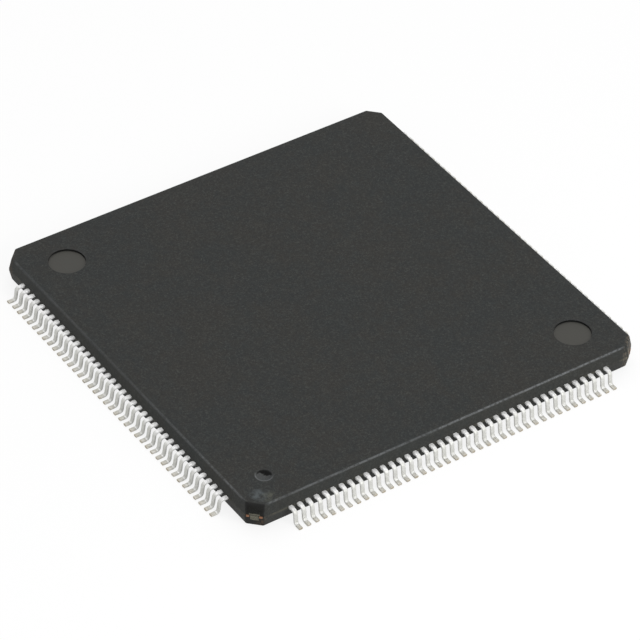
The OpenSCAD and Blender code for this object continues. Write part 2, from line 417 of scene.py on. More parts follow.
@dataclass(frozen=True)
class MouldedResin(Finish):
    """Filled epoxy: matte charcoal with mottling, grain, mould marks and edge wear; painted shade in the
    marks and at the gate, and painted light on walls and edges.
    """

    label = "moulded_resin"
    package: Package
    ejector_centres: tuple[Centre, ...]
    ejector_radius: float
    dimple_centre: Centre
    dimple_radius: float
    # Direction from a mark's centre to its far side, where the ejector walls and the dimple's bowl are
    # painted darkest as shade.
    shade_angle: float = math.radians(44)
    warm: Colour = srgb("282724")
    cool: Colour = srgb("232626")
    # Pale fleck of the grain, also mixed into the walls to paint them lighter as light.
    speck_and_wall_light: Colour = srgb("50524e")
    pit: Colour = srgb("0f0f0e")
    # Pale tone of wear, also painted as a highlight on the top edges and the dimple's rim, and as light in
    # the dimple's near bowl.
    rubbed_and_highlight: Colour = srgb("8c8f91")
    pin_floor: Colour = srgb("3f3e39")
    # Near black of the torn gate: its own tone, with painted shade of its rough relief.
    snapped: Colour = srgb("0e0e0d")
    parting: Colour = srgb("57554a")
    # Near black painted as shade on the ejector marks' walls and over the dimple's far bowl.
    painted_groove_shade: Colour = srgb("050505")
    scuffed: Colour = srgb("737c80")
    smeared: Colour = srgb("6c6d60")
    stain: Colour = srgb("63503f")
    cream: Colour = srgb("a39683")

    def sockets(self, at: Spot) -> dict[str, Any]:
        """Works out the shader's inputs.

        Args:
            at: The point that is shaded.

        Returns:
            The inputs by name.
        """
        graph = at.graph
        clouds = at.noise(2.8, 3.0, 0.55)
        mottle = at.noise(0.5, 4.0, 0.65, seed=3.0)
        grain = at.noise(0.11, 3.0, 0.7, seed=5.0)
        fine = at.noise(0.035, 2.0, 0.6, seed=8.0)

        rough = grain * 0.6 + fine * 0.4
        floor, painted_groove_shade = self._pin_marks(at)
        # Painted shade over the dimple's far bowl, and its paler rim and near bowl from wear and painted
        # light.
        dimple, rim_wear_and_light = self._dimple_shade_and_light(at, mottle)
        inset, corner = self._insets(at)
        # The top edges' pale line: wear and a painted highlight.
        rub_and_highlight = self._edge_rub_and_highlight(at, inset, corner)
        # Mask of the drafted walls, which are painted lighter than the top as light.
        wall = inset.step(self.package.corner_inset + 0.02, self.package.corner_inset - 0.01)
        smeared = (at.x - at.y + (mottle - 0.5) * 3.0).step(0.1, 1.1)
        stain, cream = self._corner_marks(at, corner)
        colour = graph.layered(
            self.warm,
            ((clouds * 0.5 + mottle * 0.5).step(0.36, 0.64), self.cool),
            (rough.step(0.48, 0.68) * 0.5, self.speck_and_wall_light),
            (rough.step(0.52, 0.34) * 0.6, self.pit),
            (floor * 0.85, self.pin_floor),
            # Painted shade on the ejector marks' walls.
            (painted_groove_shade, self.painted_groove_shade),
            # The dimple's rim and near bowl: wear, with a painted highlight and painted light.
            (rim_wear_and_light, self.rubbed_and_highlight),
            # Painted shade over the dimple's far bowl.
            (dimple, self.painted_groove_shade),
            # Top edges: wear and a painted highlight.
            (rub_and_highlight, self.rubbed_and_highlight),
            # Walls painted lighter as light.
            (wall * 0.16, self.speck_and_wall_light),
            (self._parting_line(at.z, inset, mottle), self.parting),
            # Near black at the gate: torn resin and painted shade of its relief.
            (self._gate_dark_and_shade(at, corner, mottle), self.snapped),
            (self._scuff(at), graph.mix(smeared, self.scuffed, self.smeared)),
            (stain, self.stain),
            (cream, self.cream))

        roughness = 0.66 + 0.16 * grain - 0.16 * floor + 0.2 * dimple.most(painted_groove_shade) + 0.08 * rub_and_highlight
        height = (0.4 * fine + 0.6 * grain) * (1.0 - 0.75 * floor) + 1.2 * mottle
        return dict(
            base_color=colour, roughness=roughness, specular_ior_level=0.28,
            normal=graph.bump(height, 0.012))

    def _pin_marks(self, at: Spot) -> tuple[Signal, Signal]:
        """Masks of the ejector marks: their smooth floors, and the painted shade on the wall round each,
        strongest on the far side.

        Args:
            at: The point that is shaded.

        Returns:
            The floor's mask and the mask of the wall's painted shade.
        """
        first, second = (at.reach(centre) for centre in self.ejector_centres)
        reach = first.least(second)
        sunk = at.z.step(self.package.top - 0.006, self.package.top - 0.016)
        rim = self.ejector_radius
        floor = reach.step(rim - 0.004, rim - 0.03) * sunk
        wall = reach.step(rim - 0.03, rim - 0.012) * reach.step(rim + 0.02, rim + 0.006) * sunk
        # The wall is painted dark as shade: a quarter of the way all round, fully on the far side.
        one, other = (
            at.beyond(centre, self.shade_angle).step(0.25 * rim, 0.75 * rim)
            * distance.step(2 * rim, 1.5 * rim)
            for centre, distance in zip(self.ejector_centres, (first, second)))
        return floor, wall * (0.25 + 0.75 * (one + other))

    def _dimple_shade_and_light(self, at: Spot, mottle: Signal) -> tuple[Signal, Signal]:
        """Masks of the dimple: painted shade over the far part of its pitted bowl, and a paler rim and near
        bowl, from wear and painted light.

        Args:
            at: The point that is shaded.
            mottle: Noise that breaks up both.

        Returns:
            The mask of the painted shade, and that of the paler rim and near bowl.
        """
        radius, top = self.dimple_radius, self.package.top
        reach = at.reach(self.dimple_centre)
        beyond = at.beyond(self.dimple_centre, self.shade_angle) + (mottle - 0.5) * 1.1
        sunk = at.z.step(top - 0.005, top - 0.03) * at.z.step(top - 0.35, top - 0.3)
        inside = (reach + (mottle - 0.5) * 0.2).step(radius + 0.01, radius - 0.07) * sunk
        # The far part of the bowl, along the shade angle, is painted near black as shade.
        bowl = inside * beyond.step(0.08, 0.2)
        # The rim is paler all round from wear, and more so on the near side as a painted highlight.
        rim_wear_and_light = reach.step(radius + 0.07, radius + 0.02) * reach.step(radius - 0.06, radius - 0.01)
        near = beyond.step(0.2, -0.25)
        # The near part of the bowl is painted a little paler as light.
        dusty_and_lit = (inside - bowl) * 0.16
        return bowl * 0.97, dusty_and_lit.most(rim_wear_and_light * (0.04 + 0.3 * near) * at.z.step(top - 0.14, top - 0.08))

    def _insets(self, at: Spot) -> tuple[Signal, Signal]:
        """How far a point lies inside the octagonal outline, and inside its cut corners alone.

        The first is the lesser of half the width less the larger of |x| and |y|, and the second,
        which is half the corner span less (|x| + |y|) over root two.

        Args:
            at: The point that is shaded.

        Returns:
            Both distances.
        """
        flank = self.package.width / 2 - abs(at.x).most(abs(at.y))
        corner = self.package.across_corners / 2 - (abs(at.x) + abs(at.y)) * HALF_ROOT
        return flank.least(corner), corner

    def _parting_line(self, z: Signal, inset: Signal, mottle: Signal) -> Signal:
        """Mask of the pale, broken seam where the two halves of the mould met."""
        low, high = self.package.sheet_low, self.package.sheet_top
        band = z.step(low - 0.03, low + 0.02) * z.step(high + 0.03, high - 0.02)
        return band * inset.step(0.05, 0.01) * mottle.step(0.42, 0.62) * 0.6

    def _gate_dark_and_shade(self, at: Spot, corner: Signal, mottle: Signal) -> Signal:
        """Mask of the near-black, torn skin on the gate's corner cut, above and below the snapped gate: its
        own dark tone and painted shade of its rough relief.

        Args:
            at: The point that is shaded.
            corner: Distance inside the cut corners.
            mottle: Noise that breaks up its border.

        Returns:
            The mask.
        """
        package = self.package
        ragged = (mottle - 0.5) * 0.25
        at_gate = (at.x + at.y).step(-package.width * 0.7, -package.width * 0.9)
        face = (corner + ragged * 0.4).step(0.27, 0.19) * at_gate
        span = (at.off_diagonal() + ragged).step(0.52, 0.44)
        upper = at.z.step(package.sheet_low, package.sheet_low + 0.06)
        return face * span * (0.7 + 0.2 * upper)

    def _edge_rub_and_highlight(self, at: Spot, inset: Signal, corner: Signal) -> Signal:
        """Mask of the pale, broken line along the top edges, strongest on the front and the left: partly
        wear, partly a painted highlight.

        Args:
            at: The point that is shaded.
            inset: Distance inside the outline.
            corner: Distance inside the cut corners.

        Returns:
            The mask.
        """
        package = self.package
        width, top = package.width, package.top
        crest = package.flat_inset
        x, y, z = at.x, at.y, at.z
        front = y.step(-0.4 * width, -0.47 * width)
        near = x.least(y).step(-0.4 * width, -0.47 * width)
        line = z.step(top - 0.08, top - 0.045) * inset.step(crest, crest - 0.03)
        haze = z.step(top - 0.12, top - 0.04) * inset.step(crest + 0.06, crest - 0.03)
        dots = at.noise(0.13, 3.0, 0.7, seed=11.0).step(0.34, 0.6)
        runs = at.noise(1.6, 2.0, 0.5, seed=13.0).step(0.32, 0.6)
        bright = 0.3 + 0.2 * front * x.step(-0.45 * width, 0.25 * width)
        toward_gate = 0.35 + 0.65 * (x + y).step(-0.4 * width, -0.95 * width).most(front)
        # The line and the soft band beside it mix wear with a painted highlight, strongest on the front and
        # the near corner.
        worn_and_highlight = line * (0.1 + 0.9 * dots) * (0.45 + 0.55 * runs) * bright * toward_gate
        return ((worn_and_highlight + haze * 0.07) * (0.2 + 0.8 * near)
                * corner.step(package.corner_inset + 0.05, package.corner_inset + 0.35))

    def _scuff(self, at: Spot) -> Signal:
        """Mask of the scuff on the top, between the dimple and the gate.

        Args:
            at: The point that is shaded.

        Returns:
            The mask: an oval across the diagonal, broken up by noise.
        """
        middle = self.package.across_corners / 2 - 0.85
        across = (at.x - at.y) * (HALF_ROOT / 0.9) - 0.38
        out = ((at.x + at.y) * HALF_ROOT + middle) * (1 / 0.55)
        oval = (across * across + out * out).step(1.0, 0.0)
        broken = at.noise(0.34, 4.0, 0.65, seed=17.0).step(0.34, 0.64)
        return oval * broken * at.z.step(self.package.top - 0.03, self.package.top - 0.005) * 0.45

    def _corner_marks(self, at: Spot, corner: Signal) -> tuple[Signal, Signal]:
        """Masks of the brown stains at the gate and the left corner, and of the pale patch of wear at the
        right.

        Args:
            at: The point that is shaded.
            corner: Distance inside the cut corners.

        Returns:
            The stains' mask and that of the patch of wear.
        """
        package = self.package
        half = package.width / 2
        streaks = at.noise(0.12, 3.0, 0.7, seed=19.0, squeeze=(1.0, 1.0, 0.35))
        below = at.z.step(package.sheet_top + 0.02, package.sheet_low - 0.08)
        gate = at.reach((0.65 * package.corner_cut - half, -half)).step(0.55, 0.15) * below
        on_cut = corner.step(0.34, 0.12)
        left = on_cut * at.x.step(0.0, -1.0) * at.y.step(0.0, 1.0) * 0.55
        right = on_cut * at.x.step(0.0, 1.0) * at.y.step(0.0, -1.0)
        stain = gate.most(left) * streaks.step(0.42, 0.62) * 0.6
        return stain, right * streaks.step(0.44, 0.66) * 0.5


@dataclass(frozen=True)
class BrokenResin(Finish):
    """Fractured resin where the gate was snapped off: near black above, its own tone with painted shade of
    its relief, and olive at the sheet's level.
    """

    label = "broken_resin"
    package: Package
    # Near black: the broken resin's tone and painted shade of its rough relief.
    dark: Colour = srgb("161614")
    crest: Colour = srgb("2c2d2a")
    olive: Colour = srgb("5e5c4e")
    dusty_and_lit: Colour = srgb("77756a")

    def sockets(self, at: Spot) -> dict[str, Any]:
        """Works out the shader's inputs.

        Args:
            at: The point that is shaded.

        Returns:
            The inputs by name.
        """
        graph = at.graph
        chips = at.cells(0.07)
        dust = at.noise(0.06, 4.0, 0.7, seed=2.0)
        above = graph.mix(dust.step(0.45, 0.75), self.dark, self.crest)
        level = graph.mix(dust.step(0.35, 0.65), self.olive, self.dusty_and_lit)
        ragged = (dust - 0.5) * 0.2
        low = (at.z + ragged).step(self.package.sheet_top + 0.13, self.package.sheet_top + 0.06)
        low = low * (at.off_diagonal() + ragged).step(0.31, 0.23)
        return dict(
            base_color=graph.mix(low, above, level), roughness=0.82 + 0.1 * dust,
            specular_ior_level=0.25, normal=graph.bump(chips + dust, 0.018))


@dataclass(frozen=True)
class TinPlating(Finish):
    """Matte tin over copper: pale grain, painted shade from the first bend outwards, a painted glint on each
    heel, and a bare warm end where the toe was cropped.
    """

    label = "matte_tin"
    bright: Colour = srgb("f6f6f6")
    dull: Colour = srgb("e4e4e3")
    # Darker tone painted from the first bend outwards as shade.
    painted_leg_shade: Colour = srgb("d2d2cd")
    warm: Colour = srgb("bfbcb2")
    cropped: Colour = srgb("ab9f88")
    metal_share: float = 0.35

    def sockets(self, at: Spot) -> dict[str, Any]:
        """Works out the shader's inputs.

        Args:
            at: The point that is shaded.

        Returns:
            The inputs by name.
        """
        graph = at.graph
        along = graph.attribute("along")
        end = graph.attribute("end")
        tint = graph.attribute("tint")
        grain = at.noise(0.018, 3.0, 0.6)
        patches = at.noise(0.16, 3.0, 0.6, seed=4.0)
        # From the first bend outwards the tin is painted darker as shade.
        leg = along.step(0.3, 0.44)
        foot = along.step(0.64, 0.74) * (0.45 + 0.55 * patches.step(0.35, 0.6))
        # Painted glint on the heel bend.
        heel = along.step(0.58, 0.63) * along.step(0.7, 0.65)
        colour = graph.layered(
            self.bright,
            (patches.step(0.35, 0.7) * 0.6 + 0.4 * tint, self.dull),
            (leg * (0.6 + 0.4 * patches.step(0.3, 0.6)), self.painted_leg_shade),
            (foot * 0.6, self.warm),
            (end * (0.4 + 0.5 * patches.step(0.3, 0.6)), self.cropped),
            # Painted glint on the heel.
            (heel * patches.step(0.42, 0.6), self.bright))
        roughness = 0.42 + 0.18 * patches - 0.14 * heel + 0.1 * end
        return dict(
            base_color=colour, metallic=self.metal_share, roughness=roughness,
            normal=graph.bump(grain + 2.0 * patches, 0.004))


@dataclass(frozen=True)
class Metal(Finish):
    """A bare or plated metal: two tones in patches, with fine marks drawn out along one axis."""

    label: str
    tone: Colour
    stained: Colour
    roughness: float
    patch: float
    streak: tuple[float, float, float]

    def sockets(self, at: Spot) -> dict[str, Any]:
        """Works out the shader's inputs.

        Args:
            at: The point that is shaded.

        Returns:
            The inputs by name.
        """
        graph = at.graph
        patches = at.noise(self.patch, 4.0, 0.6)
        lines = at.noise(0.02, 2.0, 0.6, seed=6.0, squeeze=self.streak)
        colour = graph.mix(patches.step(0.36, 0.68), self.tone, self.stained)
        return dict(
            base_color=colour, metallic=1.0, roughness=self.roughness + 0.2 * patches + 0.1 * lines,
            normal=graph.bump(lines, 0.002))


@dataclass(frozen=True)
class SilverEpoxy(Finish):
    """Die adhesive: silver flakes in a cloudy epoxy."""

    label = "silver_epoxy"
    paste: Colour = srgb("b9b5a8")
    flake: Colour = srgb("e9e7df")

    def sockets(self, at: Spot) -> dict[str, Any]:
        """Works out the shader's inputs.

        Args:
            at: The point that is shaded.

        Returns:
            The inputs by name.
        """
        graph = at.graph
        flakes = at.cells(0.02).step(0.5, 0.2)
        clouds = at.noise(0.6, 3.0)
        colour = graph.mix(flakes * (0.4 + 0.6 * clouds), self.paste, self.flake)
        return dict(
            base_color=colour, metallic=flakes * 0.7, roughness=0.5 - 0.2 * flakes,
            normal=graph.bump(flakes + clouds, 0.003))


@dataclass(frozen=True)
class SiliconDie(Finish):
    """Silicon with its circuit: blocks of fine routing in muted tones inside a plain scribe edge."""

    label = "silicon_die"
    half: float
    field_tone: Colour = srgb("4a5260")
    routed: Colour = srgb("7a7663")
    scribe: Colour = srgb("6c6f76")

    def sockets(self, at: Spot) -> dict[str, Any]:
        """Works out the shader's inputs.

        Args:
            at: The point that is shaded.

        Returns:
            The inputs by name.
        """
        graph = at.graph
        rows = at.noise(0.5, 2.0, seed=1.0, squeeze=(1.0, 30.0, 1.0)).step(0.46, 0.54)
        blocks = graph.add(
            "TexVoronoi", {"distance": "CHEBYCHEV"}, {"Vector": at.place, "Scale": 0.8, "Randomness": 0.7})
        shade = Signal(graph, graph.add("SeparateColor", inputs={0: blocks.outputs["Color"]}).outputs[0])
        colour = graph.mix(rows * (0.2 + 0.6 * shade), self.field_tone, self.routed)
        rim = abs(at.x).most(abs(at.y)).step(self.half - 0.09, self.half - 0.05)
        colour = graph.mix(rim, colour, self.scribe)
        return dict(
            base_color=colour, metallic=0.35, roughness=0.22 + 0.2 * rows, normal=graph.bump(rows, 0.001))


@dataclass(frozen=True)
class TapeFilm(Finish):
    """Amber polyimide film with faint streaks and cloudy patches of adhesive behind it."""

    label = "tape_film"
    amber: Colour = srgb("b06a1e")
    deep: Colour = srgb("8a4a12")

    def sockets(self, at: Spot) -> dict[str, Any]:
        """Works out the shader's inputs.

        Args:
            at: The point that is shaded.

        Returns:
            The inputs by name.
        """
        graph = at.graph
        clouds = at.noise(0.9, 3.0, 0.6)
        streaks = at.noise(0.2, 3.0, seed=2.0, squeeze=(0.1, 4.0, 1.0))
        colour = graph.mix(clouds.step(0.35, 0.65) * 0.7 + 0.3 * streaks, self.amber, self.deep)
        return dict(
            base_color=colour, roughness=0.28 + 0.14 * streaks, coat_weight=0.3,
            normal=graph.bump(streaks + clouds, 0.003))


# ---------------------------------------------------------------- meshes


def area_weighted_normals(mesh: bpy.types.Mesh) -> None:
    """Gives each vertex the mean normal of its faces, weighted by their areas.

    A broad flat then stays flat beside a narrow rounded edge.

    Args:
        mesh: The mesh, with its faces turned outwards.
    """
    faces = len(mesh.polygons)
    normals = np.zeros(faces * 3)
    areas = np.zeros(faces)
    sizes = np.zeros(faces, int)
    corners = np.zeros(len(mesh.loops), int)
    mesh.polygons.foreach_get("normal", normals)
    mesh.polygons.foreach_get("area", areas)
    mesh.polygons.foreach_get("loop_total", sizes)
    mesh.loops.foreach_get("vertex_index", corners)
    weighted = normals.reshape(-1, 3) * areas[:, None]
    summed = np.zeros((len(mesh.vertices), 3))
    np.add.at(summed, corners, np.repeat(weighted, sizes, axis=0))
    lengths = np.linalg.norm(summed, axis=1, keepdims=True)
    mesh.polygons.foreach_set("use_smooth", np.ones(faces, bool))
    mesh.normals_split_custom_set_from_vertices((summed / np.maximum(lengths, 1e-30)).tolist())


class Shell:
    """Points and faces of one closed piece, collected patch by patch, in millimetres."""

    def __init__(self) -> None:
        """Starts empty."""
        self.points: list[np.ndarray] = []
        self.faces: list[list[int]] = []
        self.count = 0

    def add(self, points: np.ndarray) -> np.ndarray:
        """Adds points.

        Args:
            points: Points along the last axis, in an array of any shape.

        Returns:
            Their numbers, in the shape of the array without its last axis.
        """
        shape = points.shape[:-1]
        numbers = self.count + np.arange(int(np.prod(shape))).reshape(shape)
        self.points.append(points.reshape(-1, 3))
        self.count += numbers.size
        return numbers

    def bridge(self, rows: np.ndarray, closed: bool = True, flip: bool = False) -> None:
        """Joins neighbouring rows of points by quads.

        Args:
            rows: Numbers of the points; the first of two rows lies on the left of the way along it.
            closed: Whether each row is a ring.
            flip: Turns the faces round.
        """
        after = np.roll(rows, -1, axis=-1)
        quads = np.stack([rows[..., :-1, :], rows[..., 1:, :], after[..., 1:, :], after[..., :-1, :]], -1)
        if not closed:
            quads = quads[..., :-1, :]
        quads = quads.reshape(-1, 4)
        self.faces += (quads[:, ::-1] if flip else quads).tolist()

    def close(self, rings: np.ndarray, flip: bool = False) -> None:
        """Fills each ring with one face.

        Args:
            rings: Numbers of each ring's points, a ring to a row.
            flip: Turns the faces round.
        """
        rings = rings.reshape(-1, rings.shape[-1])
        self.faces += (rings[:, ::-1] if flip else rings).tolist()

    def fill(self, outline: np.ndarray, holes: list[np.ndarray], upwards: bool) -> None:
        """Fills a level outline that has round holes with triangles.

        Args:
            outline: Numbers of the outline's points, in order.
            holes: Numbers of each hole's points, in order.
            upwards: Whether the faces look up.
        """
        points = np.concatenate(self.points)[:, :2]
        rings = [outline, *holes]
        numbers = np.concatenate(rings)
        starts = np.cumsum([0] + [len(ring) for ring in rings[:-1]])
        edges = [
            np.stack([start + np.arange(len(ring)), start + np.roll(np.arange(len(ring)), -1)], 1)
            for start, ring in zip(starts, rings)]
        flat = [Vector(p) for p in points[numbers].tolist()]
        _, _, made, sources, _, _ = geometry.delaunay_2d_cdt(
            flat, np.concatenate(edges).tolist(), [], 1, 1e-9)
        first = np.array([source[0] for source in sources])
        triangles = numbers[first[np.array(made)]]
        middles = points[triangles].mean(1)
        keep = np.ones(len(triangles), bool)
        for hole in holes:
            ring = points[hole]
            centre = ring.mean(0)
            radius = np.linalg.norm(ring - centre, axis=1).min()
            keep &= np.linalg.norm(middles - centre, axis=1) > radius * 0.999
        triangles = triangles[keep]
        a, b, c = (points[triangles[:, i]] for i in range(3))
        turned = (b - a)[:, 0] * (c - a)[:, 1] - (b - a)[:, 1] * (c - a)[:, 0] > 0
        wrong = turned != upwards
        triangles[wrong] = triangles[wrong][:, ::-1]
        self.faces += triangles.tolist()

    def build(self, name: str, material: bpy.types.Material,
              attributes: dict[str, np.ndarray] | None = None) -> bpy.types.Object:
        """Writes the mesh.

        Args:
            name: Name of the piece.
            material: Its finish.
            attributes: Numbers that the mesh carries at its points, by name.

        Returns:
            The piece, in metres, with its object at the origin.
        """
        mesh = bpy.data.meshes.new(name)
        mesh.from_pydata((np.concatenate(self.points) * MM).tolist(), [], self.faces)
        for label, numbers in (attributes or {}).items():
            layer = mesh.attributes.new(label, "FLOAT", "POINT")
            layer.data.foreach_set("value", numbers.astype(np.float32).ravel())
        mesh.materials.append(material)
        mesh.update()
        area_weighted_normals(mesh)
        piece = bpy.data.objects.new(name, mesh)
        bpy.context.scene.collection.objects.link(piece)
        return piece


def mount(piece: bpy.types.Object, slot: str, *nodes: str) -> None:
    """Makes a piece ride on the body in place of its nodes, and reports it.

    Args:
        piece: The piece.
        slot: The record's slot for its finish; not used.
        *nodes: The nodes that it stands for.
    """
    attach(piece, BODY)
    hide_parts(*nodes)
    LOG.info("%s: %d faces, for %s", piece.name, len(piece.data.polygons), ", ".join(nodes))


# ---------------------------------------------------------------- moulding


@dataclass
class Moulding:
    """The resin body: a drafted slab with cut corners, two ejector marks a side and a dimple."""

    package: Package
    vertical_radius: float = 0.14
    ejector_radius: float = 1.0
    ejector_inset: float = 2.5
    ejector_depth: float = 0.1
    dimple_radius: float = 0.425
    dimple_inset: float = 2.0
    dimple_depth: float = 0.2
    dimple_rings: tuple[float, ...] = (0.985, 0.95, 0.9, 0.8, 0.68, 0.55, 0.4, 0.25, 0.1)
    crisp: float = 0.004
    rim_round: float = 0.012
    arc_steps: int = 6
    corner_steps: int = 4
    ring_points: int = 96

    @property
    def ejector_centres(self) -> tuple[Centre, ...]:
        """Centres of the ejector marks, in the corners beside terminal 1's."""
        reach = self.package.width / 2 - self.ejector_inset
        return ((-reach, reach), (reach, -reach))

    @property
    def dimple_centre(self) -> Centre:
        """Centre of the dimple, next to terminal 1."""
        reach = self.dimple_inset - self.package.width / 2
        return (reach, reach)

    def finish(self) -> bpy.types.Material:
        """Makes the resin, with its marks placed on this body."""
        return MouldedResin(
            self.package, self.ejector_centres, self.ejector_radius, self.dimple_centre,
            self.dimple_radius).build()

    def side_view(self) -> tuple[np.ndarray, np.ndarray]:
        """Works out the wall's side view, from the edge of the top flat to that of the bottom flat.

        A quarter of a circle, less the draft, rolls off the flat; a straight drafted wall leads
        down to an upright land as high as the sheet; and the lower half mirrors the upper. The
        land's two edges are doubled, so that they stay crisp under smooth shading.

        Returns:
            How far each ring lies inside the widest outline, and its height.
        """
        package = self.package
        turn = np.linspace(math.pi / 2, package.draft, self.arc_steps + 1)
        radius = package.edge_radius
        inset = package.flat_inset - radius * np.cos(turn)
        above = package.rise - radius + radius * np.sin(turn)
        lean = self.crisp * math.tan(package.draft)
        inset = np.concatenate([inset, [lean, 0.0]])
        above = np.concatenate([above, [self.crisp, -self.crisp]])
        heights = np.concatenate([package.sheet_top + above, (package.sheet_low - above)[::-1]])
        return np.concatenate([inset, inset[::-1]]), heights

    def outline(self, insets: np.ndarray) -> np.ndarray:
        """Works out the octagonal outline at each inset, with its eight corners rounded.

        A corner is where two walls' lines meet, moved in along both normals by the inset and the
        radius, and an arc of that radius sweeps round it from one wall's normal to the next.

        Args:
            insets: How far the outline is moved in, one number to a ring.

        Returns:
            Points by ring, place along the ring, and axis, anticlockwise from above.
        """
        package = self.package
        angles = np.arange(8) * math.pi / 4
        reach = np.where(np.arange(8) % 2 == 0, package.width / 2, package.across_corners / 2)
        normals = np.stack([np.cos(angles), np.sin(angles)], 1)
        following = np.roll(normals, -1, axis=0)
        next_reach = np.roll(reach, -1)
        skew = math.sin(math.pi / 4)
        corners = np.stack([
            (reach * following[:, 1] - next_reach * normals[:, 1]) / skew,
            (next_reach * normals[:, 0] - reach * following[:, 0]) / skew], 1)
        inward = (normals + following) / (1 + math.cos(math.pi / 4))
        sweep = angles[:, None] + np.linspace(0, math.pi / 4, self.corner_steps + 1)
        arcs = self.vertical_radius * np.stack([np.cos(sweep), np.sin(sweep)], -1)
        moved = (insets + self.vertical_radius)[:, None, None] * inward
        rings = (corners - moved)[:, :, None, :] + arcs
        return rings.reshape(len(insets), -1, 2)

    def round_mark(self, centre: Centre, reach: np.ndarray, heights: np.ndarray) -> np.ndarray:
        """Turns a side view round an upright line.

        Args:
            centre: Where the line stands.
            reach: Distance of each ring from the line.
            heights: Height of each ring.

        Returns:
            Points by ring, place along the ring, and axis, anticlockwise from above.
        """
        turn = np.linspace(0, 2 * math.pi, self.ring_points, endpoint=False)
        x = centre[0] + reach[:, None] * np.cos(turn)
        y = centre[1] + reach[:, None] * np.sin(turn)
        return np.stack([x, y, np.broadcast_to(heights[:, None], x.shape)], -1)

    def recess(self) -> tuple[np.ndarray, np.ndarray]:
        """Side view of an ejector mark: a rolled rim, an upright wall, a small fillet and a flat floor.

        Returns:
            Distance of each ring from the middle, and its depth.
        """
        quarter = np.linspace(0, math.pi / 2, 4)
        rim, fillet = self.rim_round, self.rim_round * 0.7
        radius, depth = self.ejector_radius, self.ejector_depth
        reach = np.concatenate([
            radius + rim * (1 - np.sin(quarter)), radius - fillet * (1 - np.cos(quarter)),
            [radius * 0.9, radius * 0.3]])
        sunk = np.concatenate([
            rim * (1 - np.cos(quarter)), depth - fillet * (1 - np.sin(quarter)), [depth, depth]])
        return reach, sunk

    def bowl(self) -> tuple[np.ndarray, np.ndarray]:
        """Side view of the dimple: a rolled rim that runs into a cap of a sphere.

        Returns:
            Distance of each ring from the middle, and its depth.
        """
        radius, depth = self.dimple_radius, self.dimple_depth
        ball = (radius ** 2 + depth ** 2) / (2 * depth)
        reach = radius * np.array(self.dimple_rings)
        sunk = depth - (ball - np.sqrt(ball ** 2 - reach ** 2))
        rim = np.array([radius + 0.012, radius + 0.004])
        return np.concatenate([rim, reach]), np.concatenate([[0.0, 0.0015], sunk])

    def sink(self, shell: Shell, centre: Centre, view: tuple[np.ndarray, np.ndarray],
             upwards: bool) -> np.ndarray:
        """Adds a round mark to a flat.

        Args:
            shell: The body's shell.
            centre: The mark's centre.
            view: Its side view: distance from the middle, and depth.
            upwards: Whether it is on the top.

        Returns:
            Numbers of the points along its rim.
        """
        reach, sunk = view
        heights = self.package.top - sunk if upwards else self.package.bottom + sunk
        rows = shell.add(self.round_mark(centre, reach, heights))
        shell.bridge(rows, flip=upwards)
        shell.close(rows[-1:], flip=not upwards)
        return rows[0]

    def build(self) -> None:
        """Builds the closed shell, dresses it and puts it in place of the body."""
        insets, heights = self.side_view()
        plan = self.outline(insets)
        levels = np.broadcast_to(heights[:, None, None], plan.shape[:2] + (1,))
        shell = Shell()
        rows = shell.add(np.concatenate([plan, levels], -1))
        shell.bridge(rows)
        for upwards, outline in ((True, rows[0]), (False, rows[-1])):
            holes = [self.sink(shell, centre, self.recess(), upwards) for centre in self.ejector_centres]
            if upwards:
                holes.append(self.sink(shell, self.dimple_centre, self.bowl(), upwards))
            shell.fill(outline, holes, upwards)
        mount(shell.build("moulded_body", self.finish()), "resin", "body")


def chipped(places: np.ndarray, wavelengths: tuple[float, float], waves: int, seed: int) -> np.ndarray:
    """Rough relief: a sum of folded sine waves of random direction, length and phase.

    Each wave is one less the size of its sine, so crests are sharp and hollows round, and a wave
    is as high as it is long.

    Args:
        places: Points of a plane along the last axis.
        wavelengths: Shortest and longest wave.
        waves: How many waves.
        seed: Seed of the random draws.

    Returns:
        Relief from 0 to 1, in the shape of the places.
    """
    draws = np.random.default_rng(seed)
    lengths = np.geomspace(*wavelengths, waves)
    angles = draws.uniform(0, 2 * math.pi, waves)
    phases = draws.uniform(0, 2 * math.pi, waves)
    directions = np.stack([np.cos(angles), np.sin(angles)]) * (math.pi / lengths)
    folded = 1 - np.abs(np.sin(places @ directions + phases))
    return (folded * lengths).sum(-1) / lengths.sum()


